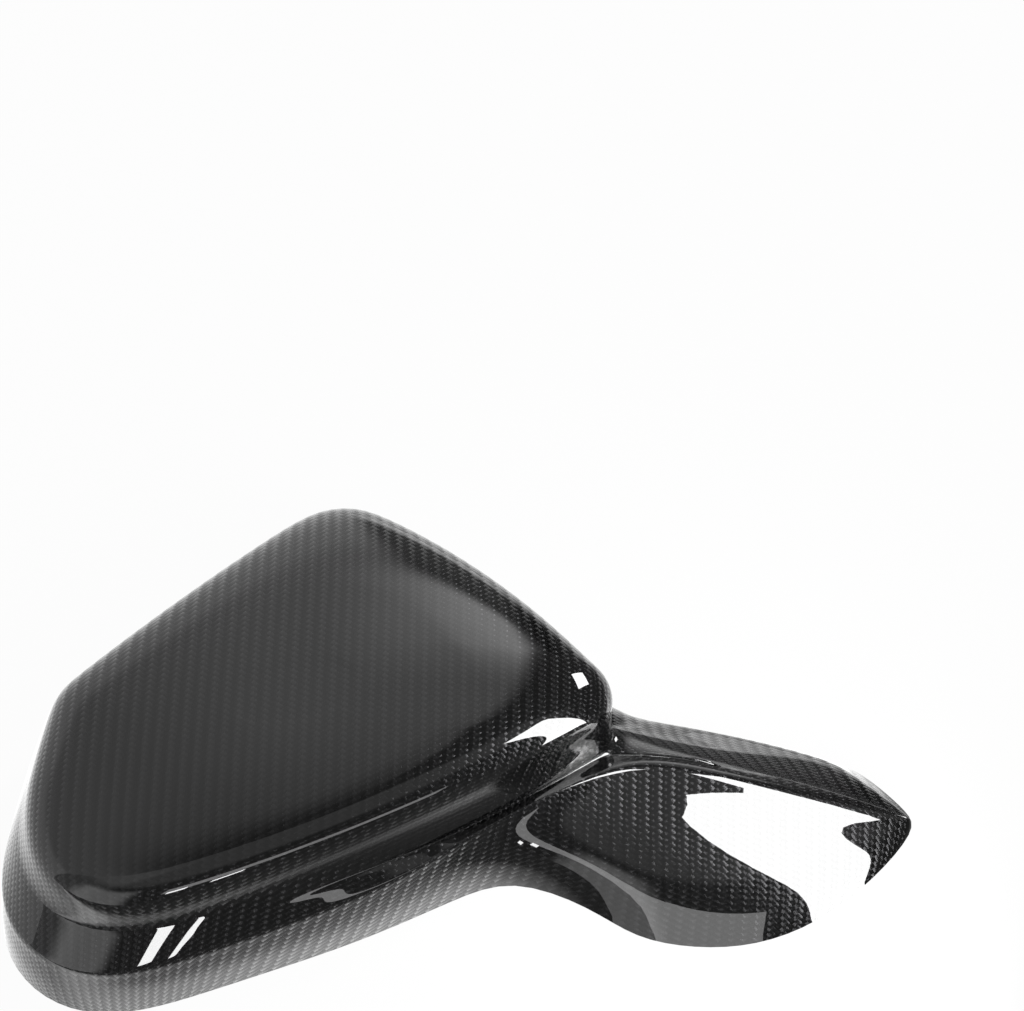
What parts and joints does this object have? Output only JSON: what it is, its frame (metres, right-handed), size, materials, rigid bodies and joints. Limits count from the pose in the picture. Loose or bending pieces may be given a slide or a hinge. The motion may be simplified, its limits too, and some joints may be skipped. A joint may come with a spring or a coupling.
{
  "type": "wing mirror cover",
  "caption": "Glossy carbon-weave shell that covers a car's wing mirror: a crowned head with a lipped lower ledge and a channel-shaped arm.",
  "frame": {"origin": "middle of the whole outline, in the plane of the shell's cut edge", "axes": "+X along the head towards the arm, +Y from the head's lower edge to its upper edge, +Z out of the open back towards the crown"},
  "size_m": [0.3538, 0.2326, 0.0664],
  "materials": {
    "carbon_laminate": "2x2 twill carbon weave under a clear gloss coat"
  },
  "bodies": {
    "root": {"mirror_cover": "carbon_laminate"}
  },
  "joints": []
}
